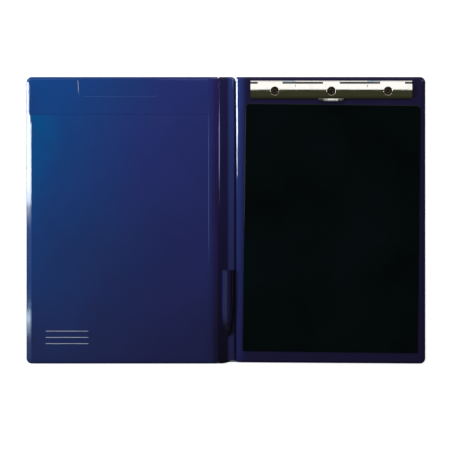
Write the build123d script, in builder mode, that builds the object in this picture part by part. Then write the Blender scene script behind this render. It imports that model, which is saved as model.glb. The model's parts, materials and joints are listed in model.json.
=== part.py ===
from build123d import *
from math import cos, pi, sin
import os

os.makedirs("parts", exist_ok=True)

# An A4 clipboard folder that lies open with its inner side up. X runs across both covers,
# Y up the page and Z out of the page. All sizes are in millimetres.

# The sheets that the folder holds, and the spine between its two fold lines
sheet_width = 210.0
sheet_height = 297.0
spine_width = 20.9
corner_radius = 6.5
spine_corner_radius = 2.5
fold_gap = 1.2
film_half = 0.25

# Materials of the covers
board_thickness = 2.0
foil = 0.45
board_corner_radius = 4.0
narrow_board_share = 0.125

# How far the boards stay back from the edges and the fold lines, and the width of the welds
edge_margin = 3.5
edge_weld = 1.3
top_margin = 2.75
top_weld = 1.0
front_fold_margin = 11.4
front_fold_weld = 2.5
back_fold_margin = 4.0
back_fold_weld = 1.2
spine_fold_margin = 2.1
spine_fold_weld = 0.8

# Document pocket and header strip on the front: a sheet reaches a little under the strip
pocket_play = 3.6
pocket_side_gap = 1.0
header_height = 41.75
header_overlap = 2.2
pocket_foil = 0.35
pocket_slit = 0.25
pocket_weld = 3.0
pocket_radius = 2.5
pocket_from_edge = 1.4
strip_gap = 0.6
strip_edge = 0.4
notch_width = 96.6
notch_depth = 20.5
notch_radius = 7.2
strip_radius = 3.5

# Writing plate and the tape under it
plate_thickness = 1.2
plate_width = sheet_width
plate_height = sheet_height
plate_radius = 5.0
plate_foot_radius = 1.0
plate_left_gap = 5.6
plate_right_gap = 4.1
plate_top_gap = 6.4
plate_skew = 0.7
tape_thickness = 0.15
tape_width = 15.0
tape_inset = 6.0

# Clamp
clamp_length = 193.6
clamp_depth = 21.9
clamp_offset_x = 0.2
clamp_from_top = 4.7
base_sheet = 0.8
base_setback = 0.4
bar_sheet = 0.9
bar_rise = 1.4
front_edge_rise = 0.65
bar_corner_radius = 3.0
jaw_gap = 0.3
rod_radius = 0.7
rod_end_gap = 0.4
running_clearance = 0.05
knuckle_wall = 1.1
knuckle_gap = 0.25
hood_wall = 0.4
hood_edge = 0.15
hood_reach = 1.2
centre_knuckle = 20.0
spring_window = 33.2
mid_knuckle = 15.1
end_knuckle = 8.6

# Access holes in the bar, its finger lip, and the rivets
rivet_count = 3
rivet_pitch = 67.8
rivet_from_front = 9.3
access_hole_radius = 5.25
rim_depth = 1.0
lip_length = 30.5
lip_reach = 2.6
lip_rise = 1.5
lip_root = 0.6
lip_radius = 2.4
rivet_shank_radius = 2.1
rivet_head_radius = 3.6
rivet_head_height = 1.1
rivet_head_round = 0.8
rivet_bore_radius = 1.5
rivet_bore_depth = 2.5
rivet_tail_radius = 3.0
rivet_tail_height = 0.5
washer_radius = 4.8
washer_thickness = 0.6
rivet_clearance = 0.1

# Torsion springs on the rod
wire_radius = 0.25
spring_turns = 20
spring_pitch = 1.4
spring_on_rod = 0.1
spring_end_gap = 0.8
spring_leg = 5.5
hook_setback = 1.7
hook_bend = 0.75
hook_tip = 2.2
hook_clearance = 0.3
tab_length = 2.5
tab_wall = 0.8

# Pen sleeve on the spine
sleeve_length = 77.0
sleeve_from_bottom = 35.35
sleeve_width = 14.6
sleeve_rise = 7.0
sleeve_tip_width = 7.5
sleeve_tip_rise = 3.0
sleeve_full_length = 55.0
sleeve_wall = 0.45
sleeve_flange = 1.0

# Covers that fit the sheets, between the outer edges and the fold lines
pocket_width = sheet_width + pocket_play
front_width = (
    edge_margin + pocket_from_edge + pocket_width + pocket_side_gap + front_fold_margin
)
back_width = back_fold_margin + plate_left_gap + plate_width + plate_right_gap + edge_margin
pocket_height = sheet_height - header_overlap
cover_height = (
    edge_margin + pocket_height + strip_gap + header_height + 2 * strip_edge + top_margin
)

# Places that follow from the sizes
total_width = front_width + spine_width + back_width
x_left = -total_width / 2
x_right = total_width / 2
y_top = cover_height / 2
y_bottom = -cover_height / 2
left_fold_x = x_left + front_width
right_fold_x = left_fold_x + spine_width
seam_z = foil + board_thickness / 2
top_z = 2 * seam_z
half_gap = fold_gap / 2


# A panel is (left, right, left margin, right margin, left weld, right weld): its foils reach from
# left to right, and its board stays back from them by the margins.
front_panel = (
    x_left,
    left_fold_x - half_gap,
    edge_margin,
    front_fold_margin - half_gap,
    edge_weld,
    front_fold_weld - half_gap,
)
spine_panel = (
    left_fold_x + half_gap,
    right_fold_x - half_gap,
    spine_fold_margin - half_gap,
    spine_fold_margin - half_gap,
    spine_fold_weld - half_gap,
    spine_fold_weld - half_gap,
)
back_panel = (
    right_fold_x + half_gap,
    x_right,
    back_fold_margin - half_gap,
    edge_margin,
    back_fold_weld - half_gap,
    edge_weld,
)


def rounded_plate(left, right, bottom, top, radius):
    """Add a rectangle with round corners to the sketch that is open."""
    with Locations(((left + right) / 2, (bottom + top) / 2)):
        RectangleRounded(right - left, top - bottom, radius)


def panel_sketch(panel, outer_side, height):
    """A panel's outline: large corners on its outer side, small ones on the spine."""
    left, right = panel[0], panel[1]
    with BuildSketch(Plane.XY.offset(height)) as outline:
        with Locations(((left + right) / 2, 0)):
            Rectangle(right - left, cover_height)
        corners = outline.vertices().sort_by(Axis.X)
        if outer_side == "left":
            fillet(corners[:2], corner_radius)
        elif outer_side == "right":
            fillet(corners[2:], corner_radius)
        else:
            fillet(corners, spine_corner_radius)
    return outline.sketch


def board_radius(panel):
    """Corner radius of a panel's board, smaller on a narrow panel."""
    board_width = panel[1] - panel[0] - panel[2] - panel[3]
    return min(board_corner_radius, narrow_board_share * board_width)


def board_sketch(panel, height):
    """The outline of a panel's board."""
    left, right, left_margin, right_margin = panel[:4]
    with BuildSketch(Plane.XY.offset(height)) as outline:
        rounded_plate(
            left + left_margin,
            right - right_margin,
            y_bottom + edge_margin,
            y_top - top_margin,
            board_radius(panel),
        )
    return outline.sketch


def weld_sketch(panel, height, inset=0.0):
    """The line where a panel's foil leaves the weld, moved in by the given width."""
    left, right, left_margin, right_margin, left_weld, right_weld = panel
    slope = min(left_margin - left_weld, right_margin - right_weld)
    with BuildSketch(Plane.XY.offset(height)) as outline:
        rounded_plate(
            left + left_weld + inset,
            right - right_weld - inset,
            y_bottom + edge_weld + inset,
            y_top - top_weld - inset,
            board_radius(panel) + slope - inset,
        )
    return outline.sketch


def drape(panel, outer_side, side):
    """Add one foil of a panel: flat on the board, sloping down to the weld at its edge.

    side is 1 for the lining, above the seam, and -1 for the outer foil below it.
    """
    board_face = seam_z + side * board_thickness / 2
    extrude(panel_sketch(panel, outer_side, seam_z), amount=side * foil)
    loft([weld_sketch(panel, seam_z), board_sketch(panel, board_face + side * foil)], ruled=True)
    loft(
        [weld_sketch(panel, seam_z, foil), board_sketch(panel, board_face)],
        ruled=True,
        mode=Mode.SUBTRACT,
    )


def hole_at_rivets(radius, low, high):
    """Cut a round hole at each rivet, between two heights."""
    with Locations(*[(x, y, low) for x, y in rivet_places]):
        Cylinder(
            radius,
            high - low,
            align=(Align.CENTER, Align.CENTER, Align.MIN),
            mode=Mode.SUBTRACT,
        )


def save(builder, name):
    """Label a finished piece and write it."""
    builder.part.label = name
    export_step(builder.part, f"parts/{name}.step")


# The clamp's places, on the back board
back_board_left = right_fold_x + back_fold_margin
back_board_right = x_right - edge_margin
back_middle_x = (back_board_left + back_board_right) / 2
clamp_middle_x = back_middle_x + clamp_offset_x
clamp_left = clamp_middle_x - clamp_length / 2
clamp_back_y = y_top - clamp_from_top
clamp_front_y = clamp_back_y - clamp_depth
knuckle_bore = rod_radius + running_clearance
knuckle_radius = knuckle_bore + knuckle_wall
coil_radius = rod_radius + spring_on_rod + wire_radius
rod_y = clamp_back_y - knuckle_radius
rod_z = top_z + knuckle_radius + knuckle_gap
window_y = rod_y - knuckle_radius - knuckle_gap
base_top_z = top_z + base_sheet
rivet_y = clamp_front_y + rivet_from_front
rivet_places = [
    (clamp_middle_x + (index - (rivet_count - 1) / 2) * rivet_pitch, rivet_y)
    for index in range(rivet_count)
]

# Back cover
with BuildPart() as back_board:
    extrude(board_sketch(back_panel, foil), amount=board_thickness)
    hole_at_rivets(rivet_shank_radius + rivet_clearance, foil, top_z)
    hole_at_rivets(washer_radius + rivet_clearance, 0, rivet_tail_height + washer_thickness)
save(back_board, "back_board")

with BuildPart() as back_outer_foil:
    drape(back_panel, "right", -1)
    hole_at_rivets(washer_radius + rivet_clearance, 0, seam_z)
save(back_outer_foil, "back_outer_foil")

with BuildPart() as back_inner_foil:
    drape(back_panel, "right", 1)
    hole_at_rivets(rivet_shank_radius + rivet_clearance, seam_z, base_top_z)
save(back_inner_foil, "back_inner_foil")

# Writing plate, stuck on a little out of square
plate_x = back_board_left + plate_left_gap + plate_width / 2
plate_y = clamp_front_y - plate_top_gap - plate_height / 2
plate_plane = Plane(origin=(plate_x, plate_y, top_z)).rotated((0, 0, -plate_skew))

with BuildPart() as plate_tape:
    with BuildSketch(plate_plane):
        tape_x = plate_width / 2 - tape_inset - tape_width / 2
        with Locations((-tape_x, 0), (tape_x, 0)):
            Rectangle(tape_width, plate_height - 2 * tape_inset)
    extrude(amount=tape_thickness)
save(plate_tape, "plate_tape")

with BuildPart() as writing_plate:
    with BuildSketch(plate_plane.offset(tape_thickness)) as plate_sketch:
        Rectangle(plate_width, plate_height)
        fillet(plate_sketch.vertices().group_by(Axis.Y)[-1], plate_radius)
        fillet(plate_sketch.vertices().group_by(Axis.Y)[0], plate_foot_radius)
    extrude(amount=plate_thickness)
save(writing_plate, "writing_plate")

# The hinge's knuckles along the rod, each as (start, end) from the middle of the clamp. Over each
# spring and at each end of the rod, the bar's rolled edge is a hood with a slot in front of it.
bar_centre = centre_knuckle / 2
window_end = bar_centre + spring_window
tab_end = window_end + mid_knuckle
bar_end = clamp_length / 2 - end_knuckle
base_knuckles = [(-tab_end, -window_end), (window_end, tab_end)]
bar_knuckles = [
    (-bar_end, -tab_end - knuckle_gap),
    (-bar_centre, bar_centre),
    (tab_end + knuckle_gap, bar_end),
]
hoods = [
    (-clamp_length / 2, -bar_end),
    (-window_end + knuckle_gap, -bar_centre),
    (bar_centre, window_end - knuckle_gap),
    (bar_end, clamp_length / 2),
]


def knuckle(start, end):
    """Add a round barrel on the rod between two places along the clamp."""
    with BuildSketch(Plane.YZ.offset(clamp_middle_x + start)) as ring:
        with Locations((rod_y, rod_z)):
            Circle(knuckle_radius)
    extrude(ring.sketch, amount=end - start)


def hood(start, end):
    """Add the rolled edge that covers the rod from above and behind, between two places."""
    with BuildSketch(Plane.YZ.offset(clamp_middle_x + start)) as roll:
        with Locations((rod_y, rod_z)):
            Circle(knuckle_radius)
            Circle(knuckle_radius - hood_wall, mode=Mode.SUBTRACT)
        with Locations((rod_y + hood_edge, rod_z - hood_reach)):
            Rectangle(
                knuckle_radius,
                knuckle_radius + hood_reach,
                align=(Align.MIN, Align.MIN),
                mode=Mode.INTERSECT,
            )
    extrude(roll.sketch, amount=end - start)


def rod_hole():
    """Cut the rod's bore through all the knuckles."""
    with BuildSketch(Plane.YZ.offset(clamp_left)) as bore:
        with Locations((rod_y, rod_z)):
            Circle(knuckle_bore)
    extrude(bore.sketch, amount=clamp_length, mode=Mode.SUBTRACT)


def slab(left, right, front, back, low, high, mode=Mode.ADD):
    """Add or cut a block given by its sides."""
    with Locations(((left + right) / 2, (front + back) / 2, (low + high) / 2)):
        Box(right - left, back - front, high - low, mode=mode)


# Torsion spring: it starts under the rod with a leg that lies forward in a slot of the base,
# winds outwards, and ends over the rod with a leg that is hooked through the bar.
spring_top = spring_turns + 0.5
coil_length = spring_top * spring_pitch
coil_start_x = clamp_middle_x + window_end - spring_end_gap - coil_length


def coil_point(turn):
    """A point of the coil's centre line, counted in turns from its start."""
    angle = 2 * pi * turn - pi / 2
    return Vector(
        coil_start_x + spring_pitch * turn,
        rod_y + coil_radius * cos(angle),
        rod_z + coil_radius * sin(angle),
    )


def coil_direction(turn):
    """The coil's direction at a point of its centre line."""
    angle = 2 * pi * turn - pi / 2
    around = 2 * pi * coil_radius
    return Vector(spring_pitch, -around * sin(angle), around * cos(angle)).normalized()


def biarc(start, end):
    """Add the two tangent arcs that follow the coil between two turns."""
    first, last = coil_point(start), coil_point(end)
    leaving, arriving = coil_direction(start), coil_direction(end)
    chord = last - first
    bend = 1 - leaving.dot(arriving)
    along = chord.dot(leaving + arriving)
    reach = (((along**2 + 2 * bend * chord.dot(chord)) ** 0.5) - along) / (2 * bend)
    near, far = first + leaving * reach, last - arriving * reach
    middle = (near + far) * 0.5
    TangentArc(first, middle, tangent=leaving)
    TangentArc(middle, last, tangent=far - near)


# Bar section: an arch of two arcs that meet level at the crest, over the rivets. The rear one
# comes from the top of the knuckles, and the front one goes down to the jaw.
jaw_z = base_top_z + jaw_gap
crest_z = rod_z + knuckle_radius + bar_rise
rear_depth = rod_y - rivet_y
rear_radius = (rear_depth**2 + bar_rise**2) / (2 * bar_rise)
front_drop = crest_z - jaw_z - front_edge_rise
front_radius = (rivet_from_front**2 + front_drop**2) / (2 * front_drop)


def arch_height(y, sheet=0.0):
    """Height of the bar's upper face at a place, or of a face so far inside it."""
    radius = rear_radius if y > rivet_y else front_radius
    return crest_z - radius + ((radius - sheet) ** 2 - (y - rivet_y) ** 2) ** 0.5


def arch_curve(sheet=0.0):
    """Add the bar's upper face to the line that is open, or a face so far inside it."""
    crest = (rivet_y, crest_z - sheet)
    rear_y = rivet_y + rear_depth * (rear_radius - sheet) / rear_radius
    front_y = rivet_y - rivet_from_front * (front_radius - sheet) / front_radius
    rear = TangentArc(crest, (rear_y, arch_height(rear_y, sheet)), tangent=(1, 0))
    front = TangentArc(crest, (front_y, arch_height(front_y, sheet)), tangent=(-1, 0))
    return rear @ 1, front @ 1


hook_y = window_y - hook_setback
top_point = coil_point(spring_top)
top_direction = coil_direction(spring_top)
hook_corner = top_point + top_direction * ((hook_y - top_point.Y) / top_direction.Y)
hook_tip_y = hook_y - hook_tip
over_bar = wire_radius + hook_clearance
leg_end = coil_point(0) - coil_direction(0) * spring_leg

with BuildPart() as spring_right:
    with BuildLine():
        Line(leg_end, coil_point(0))
        for half_turn in range(2 * spring_turns + 1):
            biarc(half_turn / 2, (half_turn + 1) / 2)
        FilletPolyline(
            top_point,
            hook_corner,
            Vector(hook_corner.X, hook_y, arch_height(hook_y) + over_bar),
            Vector(hook_corner.X, hook_tip_y, arch_height(hook_tip_y) + over_bar),
            radius=hook_bend,
        )
    with BuildSketch(Plane(origin=leg_end, z_dir=coil_direction(0))):
        Circle(wire_radius)
    sweep()
save(spring_right, "spring_right")

with BuildPart() as spring_left:
    mirror(spring_right.part, about=Plane.YZ.offset(clamp_middle_x))
save(spring_left, "spring_left")

# The least gap between neighbouring turns, measured on points of the centre line
points_per_turn = 72
point_stride = 6
near_turn = points_per_turn // 2
far_turn = points_per_turn + near_turn
coil_points = [coil_point(index / points_per_turn) for index in range(points_per_turn * spring_turns)]
least_pitch = min(
    (coil_points[index] - coil_points[other]).length
    for index in range(0, len(coil_points) - far_turn, point_stride)
    for other in range(index + near_turn, index + far_turn)
)
print("least gap between spring turns", round(least_pitch - 2 * wire_radius, 3))

# Clamp base: a flat plate with two hinge knuckles, and a tab over each spring's lower leg
leg_x = (leg_end.X + coil_start_x) / 2 - clamp_middle_x
base_front_y = clamp_front_y + base_setback
leg_half = wire_radius + hook_clearance
leg_drift = (coil_start_x - leg_end.X) / 2
slot_half = leg_half + leg_drift
slot_front = leg_end.Y - hook_clearance
leg_top = leg_end.Z + wire_radius + hook_clearance / 2
tab_middle = (slot_front + window_y) / 2

with BuildPart() as clamp_base:
    slab(
        clamp_left,
        clamp_left + clamp_length,
        base_front_y,
        window_y,
        top_z,
        base_top_z,
    )
    for start, end in base_knuckles:
        slab(
            clamp_middle_x + start,
            clamp_middle_x + end,
            window_y,
            rod_y,
            top_z,
            base_top_z,
        )
        knuckle(start, end)
    rod_hole()
    for side in (-1, 1):
        slot_x = clamp_middle_x + side * leg_x
        slab(
            slot_x - slot_half - tab_wall,
            slot_x + slot_half + tab_wall,
            tab_middle - tab_length / 2,
            tab_middle + tab_length / 2,
            base_top_z,
            max(leg_top, base_top_z) + tab_wall,
        )
        slab(
            slot_x - slot_half,
            slot_x + slot_half,
            slot_front,
            window_y,
            top_z,
            leg_top,
            mode=Mode.SUBTRACT,
        )
    hole_at_rivets(rivet_shank_radius + rivet_clearance, top_z, base_top_z)
save(clamp_base, "clamp_base")

with BuildPart() as hinge_rod:
    with BuildSketch(Plane.YZ.offset(clamp_left + rod_end_gap)):
        with Locations((rod_y, rod_z)):
            Circle(rod_radius)
    extrude(amount=clamp_length - 2 * rod_end_gap)
save(hinge_rod, "hinge_rod")

# Hollow rivets, closed over washers that are let into the underside of the board
with BuildPart() as clamp_rivets:
    with BuildSketch(Plane.XY):
        with Locations(*rivet_places):
            Circle(rivet_tail_radius)
    extrude(amount=rivet_tail_height)
    with BuildSketch(Plane.XY):
        with Locations(*rivet_places):
            Circle(rivet_shank_radius)
    extrude(amount=base_top_z)
    with BuildSketch(Plane.XY.offset(base_top_z)):
        with Locations(*rivet_places):
            Circle(rivet_head_radius)
    extrude(amount=rivet_head_height)
    head_rims = clamp_rivets.edges().filter_by(GeomType.CIRCLE).group_by(Axis.Z)[-1]
    fillet(head_rims, rivet_head_round)
    head_top = base_top_z + rivet_head_height
    hole_at_rivets(rivet_bore_radius, head_top - rivet_bore_depth, head_top)
save(clamp_rivets, "clamp_rivets")

with BuildPart() as rivet_washers:
    with BuildSketch(Plane.XY.offset(rivet_tail_height)):
        with Locations(*rivet_places):
            Circle(washer_radius)
            Circle(rivet_shank_radius + rivet_clearance, mode=Mode.SUBTRACT)
    extrude(amount=washer_thickness)
save(rivet_washers, "rivet_washers")

# Finger lip: a tongue that curls up from the jaw, with round corners
with BuildPart() as finger_lip:
    with BuildSketch(Plane.YZ.offset(clamp_middle_x - lip_length / 2)):
        with BuildLine():
            lip_root_y = clamp_front_y + lip_root
            lip_end_y = clamp_front_y - lip_reach
            under = TangentArc((lip_root_y, jaw_z), (lip_end_y, jaw_z + lip_rise), tangent=(-1, 0))
            over = TangentArc(
                (lip_root_y, jaw_z + bar_sheet),
                (lip_end_y, jaw_z + lip_rise + bar_sheet),
                tangent=(-1, 0),
            )
            Line(under @ 0, over @ 0)
            Line(under @ 1, over @ 1)
        make_face()
    extrude(amount=lip_length)
    with BuildSketch(Plane.XY.offset(jaw_z)) as lip_plan:
        with Locations((clamp_middle_x, (lip_root_y + lip_end_y) / 2)):
            Rectangle(lip_length, lip_root_y - lip_end_y)
        fillet(lip_plan.vertices().group_by(Axis.Y)[0], lip_radius)
    extrude(amount=lip_rise + bar_sheet, mode=Mode.INTERSECT)

# Clamp bar: the arch, its knuckles and windows, the access holes and the lip
with BuildPart() as clamp_bar:
    with BuildSketch(Plane.YZ.offset(clamp_left)):
        with BuildLine():
            upper_ends = arch_curve()
            lower_ends = arch_curve(bar_sheet)
            for upper_end, lower_end in zip(upper_ends, lower_ends):
                Line(upper_end, lower_end)
        make_face()
    extrude(amount=clamp_length)
    for start, end in bar_knuckles:
        knuckle(start, end)
    clearances = [(start - knuckle_gap, end + knuckle_gap) for start, end in base_knuckles]
    for start, end in clearances + hoods:
        slab(
            clamp_middle_x + start,
            clamp_middle_x + end,
            window_y,
            y_top,
            top_z,
            crest_z,
            mode=Mode.SUBTRACT,
        )
    for start, end in hoods:
        hood(start, end)
    rod_hole()
    with BuildSketch(Plane.XY.offset(top_z)) as bar_plan:
        with Locations((clamp_middle_x, (clamp_front_y + clamp_back_y) / 2)):
            Rectangle(clamp_length, clamp_depth)
        fillet(bar_plan.vertices().group_by(Axis.Y)[0], bar_corner_radius)
    extrude(amount=crest_z, mode=Mode.INTERSECT)
    with BuildSketch(Plane.XY.offset(arch_height(rivet_y, bar_sheet) - rim_depth)):
        with Locations(*rivet_places):
            Circle(access_hole_radius + bar_sheet)
    extrude(amount=rim_depth + bar_sheet / 2)
    hole_at_rivets(access_hole_radius, jaw_z, crest_z + bar_sheet)
    add(finger_lip.part)
    for side in (-1, 1):
        with Locations((clamp_middle_x + side * (hook_corner.X - clamp_middle_x), hook_y, jaw_z)):
            Cylinder(
                wire_radius + hook_clearance,
                crest_z,
                align=(Align.CENTER, Align.CENTER, Align.MIN),
                mode=Mode.SUBTRACT,
            )
save(clamp_bar, "clamp_bar")

# Spine
with BuildPart() as spine_board:
    extrude(board_sketch(spine_panel, foil), amount=board_thickness)
save(spine_board, "spine_board")

with BuildPart() as spine_outer_foil:
    drape(spine_panel, "none", -1)
save(spine_outer_foil, "spine_outer_foil")

with BuildPart() as spine_inner_foil:
    drape(spine_panel, "none", 1)
save(spine_inner_foil, "spine_inner_foil")

# The pen sleeve's sections, each as (y, width, rise), from its mouth to its tip
spine_middle_x = (left_fold_x + right_fold_x) / 2
mouth_y = y_bottom + sleeve_from_bottom + sleeve_length
sleeve_sections = [
    (mouth_y, sleeve_width, sleeve_rise),
    (mouth_y - sleeve_full_length, sleeve_width, sleeve_rise),
    (mouth_y - sleeve_length, sleeve_tip_width, sleeve_tip_rise),
]


def arch_sketch(y, width, rise):
    """A flat-bottomed arch across the spine."""
    plane = Plane(origin=(spine_middle_x, y, top_z), x_dir=(1, 0, 0), z_dir=(0, -1, 0))
    with BuildSketch(plane) as arch:
        with BuildLine():
            curve = ThreePointArc((-width / 2, 0), (0, rise), (width / 2, 0))
            Line(curve @ 0, curve @ 1)
        make_face()
    return arch.sketch


with BuildPart() as pen_sleeve:
    loft([arch_sketch(*section) for section in sleeve_sections], ruled=True)
    with BuildSketch(Plane.XY.offset(top_z)):
        with BuildLine():
            right_side = [
                (spine_middle_x + width / 2 + sleeve_flange, y) for y, width, rise in sleeve_sections
            ]
            left_side = [(2 * spine_middle_x - x, y) for x, y in reversed(right_side)]
            Polyline(*right_side, *left_side, close=True)
        make_face()
    extrude(amount=sleeve_wall)
    loft(
        [
            arch_sketch(y, width - 2 * sleeve_wall, rise - sleeve_wall)
            for y, width, rise in sleeve_sections
        ],
        ruled=True,
        mode=Mode.SUBTRACT,
    )
save(pen_sleeve, "pen_sleeve")


def hinge_film(fold_x):
    """Add the welded foil in a fold line, thinned along its middle."""
    plane = Plane(
        origin=(fold_x, y_bottom + spine_corner_radius, seam_z), x_dir=(1, 0, 0), z_dir=(0, 1, 0)
    )
    with BuildSketch(plane) as film:
        with BuildLine():
            top = ThreePointArc((-half_gap, foil), (0, film_half), (half_gap, foil))
            bottom = ThreePointArc((-half_gap, -foil), (0, -film_half), (half_gap, -foil))
            Line(top @ 0, bottom @ 0)
            Line(top @ 1, bottom @ 1)
        make_face()
    extrude(film.sketch, amount=cover_height - 2 * spine_corner_radius)


with BuildPart() as left_hinge_film:
    hinge_film(left_fold_x)
save(left_hinge_film, "left_hinge_film")

with BuildPart() as right_hinge_film:
    hinge_film(right_fold_x)
save(right_hinge_film, "right_hinge_film")

# Front cover
with BuildPart() as front_board:
    extrude(board_sketch(front_panel, foil), amount=board_thickness)
save(front_board, "front_board")

with BuildPart() as front_outer_foil:
    drape(front_panel, "left", -1)
save(front_outer_foil, "front_outer_foil")

with BuildPart() as front_inner_foil:
    drape(front_panel, "left", 1)
save(front_inner_foil, "front_inner_foil")

# The sheets on the front: each is welded at its sides and foot, and open at its top
front_board_left = x_left + edge_margin
front_board_right = left_fold_x - front_fold_margin
front_board_bottom = y_bottom + edge_margin
front_board_top = y_top - top_margin
pocket_left = front_board_left + pocket_from_edge
pocket_right = pocket_left + pocket_width
pocket_bottom = front_board_bottom + strip_edge
pocket_top = pocket_bottom + pocket_height
strip_left = front_board_left + strip_edge
strip_right = front_board_right - strip_edge
strip_bottom = pocket_top + strip_gap
strip_top = front_board_top - strip_edge
notch_x = (pocket_left + pocket_right) / 2


def sheet(left, right, bottom, top, radius):
    """Add a thin sheet with a slit under it that is open at the top."""
    with BuildSketch(Plane.XY.offset(top_z)) as outline:
        rounded_plate(left, right, bottom, top, radius)
    extrude(outline.sketch, amount=pocket_slit + pocket_foil)
    slab(
        left + pocket_weld,
        right - pocket_weld,
        bottom + pocket_weld,
        top + pocket_weld,
        top_z,
        top_z + pocket_slit,
        mode=Mode.SUBTRACT,
    )


with BuildPart() as document_pocket:
    sheet(pocket_left, pocket_right, pocket_bottom, pocket_top, pocket_radius)
save(document_pocket, "document_pocket")

with BuildPart() as header_strip:
    sheet(strip_left, strip_right, strip_bottom, strip_top, strip_radius)
    with BuildSketch(Plane.XY.offset(top_z)) as notch:
        with Locations((notch_x, strip_top)):
            Rectangle(notch_width, 2 * notch_depth)
        fillet(notch.vertices().group_by(Axis.Y)[0], notch_radius)
    extrude(amount=pocket_slit + pocket_foil, mode=Mode.SUBTRACT)
save(header_strip, "header_strip")
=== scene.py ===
import json
import math

import bpy
import numpy as np
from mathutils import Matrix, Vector

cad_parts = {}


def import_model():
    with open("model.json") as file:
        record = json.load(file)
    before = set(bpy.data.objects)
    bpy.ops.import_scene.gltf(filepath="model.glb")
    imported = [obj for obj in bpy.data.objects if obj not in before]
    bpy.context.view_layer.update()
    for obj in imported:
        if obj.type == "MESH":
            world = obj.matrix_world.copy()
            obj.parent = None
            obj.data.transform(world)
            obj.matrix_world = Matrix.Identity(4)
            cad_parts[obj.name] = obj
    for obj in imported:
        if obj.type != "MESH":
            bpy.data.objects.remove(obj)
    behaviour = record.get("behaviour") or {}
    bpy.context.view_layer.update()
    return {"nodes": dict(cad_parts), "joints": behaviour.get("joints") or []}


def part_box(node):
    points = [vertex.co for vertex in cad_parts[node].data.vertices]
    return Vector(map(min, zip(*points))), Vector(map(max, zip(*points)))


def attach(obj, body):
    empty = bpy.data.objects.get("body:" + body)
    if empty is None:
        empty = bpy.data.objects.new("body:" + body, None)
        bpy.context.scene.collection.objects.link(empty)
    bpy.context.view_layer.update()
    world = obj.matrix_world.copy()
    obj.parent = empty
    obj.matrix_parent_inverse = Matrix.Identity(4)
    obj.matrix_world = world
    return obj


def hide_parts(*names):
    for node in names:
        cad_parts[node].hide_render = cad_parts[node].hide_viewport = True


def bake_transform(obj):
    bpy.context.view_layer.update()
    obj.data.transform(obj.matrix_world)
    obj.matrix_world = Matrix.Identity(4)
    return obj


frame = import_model()

# The folder lies open with its inner side up: X runs across both covers, Y up the page and Z out
# of it. Shapes are worked out in millimetres and turned into metres where a mesh is made.
# Materials, lights and the camera are in metres.
MM = 0.001


def box_mm(node):
    """Lowest and highest corner of a CAD node, in millimetres."""
    low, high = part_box(node)
    return low / MM, high / MM


joints = {joint["name"]: joint for joint in frame["joints"]}
front_low, front_high = box_mm("front_outer_foil")
pocket_low, pocket_high = box_mm("document_pocket")
strip_low, strip_high = box_mm("header_strip")
sleeve_low, sleeve_high = box_mm("pen_sleeve")
x_left, x_right = front_low.x, box_mm("back_outer_foil")[1].x
y_bottom, y_top = front_low.y, front_high.y
left_fold = joints["cover_fold"]["pos_m"][0] / MM
right_fold = joints["spine_fold"]["pos_m"][0] / MM
seam_z = joints["spine_fold"]["pos_m"][2] / MM
top_z = box_mm("front_inner_foil")[1].z

# The foil, its welded rim and the corners of its panels
foil = 0.45
rim_top = 1.65
outer_corner = 6.5
fold_corner = 1.3
crease_corner = 0.3

# The notches at the head of the folds
left_notch_depth = 1.2
right_notch_depth = 6.0
right_notch_corner = 5.5

# In what follows a ramp is the start, the end and the rounding of a rise from 0 to 1.

# How the foil rises from its rim to the board, counted from each edge. Beside the header strip
# the left edge rises in less room.
left_rise = (0.3, 4.9, 0.3)
left_rise_by_strip = (2.0, 3.6, 0.2)
strip_begins = (strip_low.y - 0.7, strip_low.y + 1.3, 0.5)
right_rise = (0.5, 4.0, 0.35)
head_rise = (0.7, 2.3, 0.08)
foot_rise = (0.7, 2.3, 0.3)

# The welded creases that the covers fold on, from their left to their right side
left_crease = (left_fold - 0.9, left_fold + 0.1)
right_crease = (right_fold - 0.5, right_fold + 0.3)
crease_z = 1.7

# The front's lining slopes down to the left crease, and the spine's rises from it in a crisp step,
# which is rounder about one place up the page
front_slope = (left_fold - 11.5, left_crease[0] - 0.3, 1.6)
spine_step = (left_crease[1] + 0.3, left_crease[1] + 1.1)
step_rounding, step_rounder_by = 0.08, 0.17
step_rounder_at, step_rounder_reach = 90, 32

# The spine's lining bulges up beside the right crease, but not along the pen sleeve
bulge_rise = 0.7
bulge_begins = (3.4, 9.4, 1.5)
bulge_ends = (9.9, right_crease[0], 0.4)
bulge_fades = (sleeve_low.y - 12, sleeve_low.y, 4)
bulge_returns = (sleeve_high.y - 4, sleeve_high.y + 8, 3)

# The back's lining rises from the right crease in a steep run and then in a gentle one. Up the
# page the steep run gets steeper and wavers, begins nearer the crease, and widens at the head.
steep_offset, steep_width, steep_slope = 1.3, 1.1, 0.25
nearer_by, wider_by, steeper_by = 0.9, 1.0, 0.2
gets_nearer, gets_wider, gets_steeper = (60, 150, 20), (85, 105, 8), (15, 75, 15)
long_waver, short_waver = 4.1, 1.7
width_waver, slope_waver = 0.15, 0.05
gentle_width = 3.5
steep_rounding, gentle_rounding = 0.15, 0.2

# A fine ridge in the lining runs down beside the pocket's right weld
ridge_x = pocket_high.x + 0.35
ridge_rise = 0.2
ridge_width = 0.45
ridge_begins = (pocket_low.y, pocket_low.y + 30, 10)
ridge_ends = (pocket_high.y - 4, pocket_high.y, 1)

# The folder's lower edge is drawn up at the spine, and less so over the back
spine_pull, spine_pull_at, spine_pull_reach = 1.9, 5.5, 6.5
back_pull, back_pull_begins, back_pull_ends = 1.5, (4, 14, 3), (14, 230, 20)
pull_fades = (y_bottom, y_bottom + 50, 10)


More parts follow.
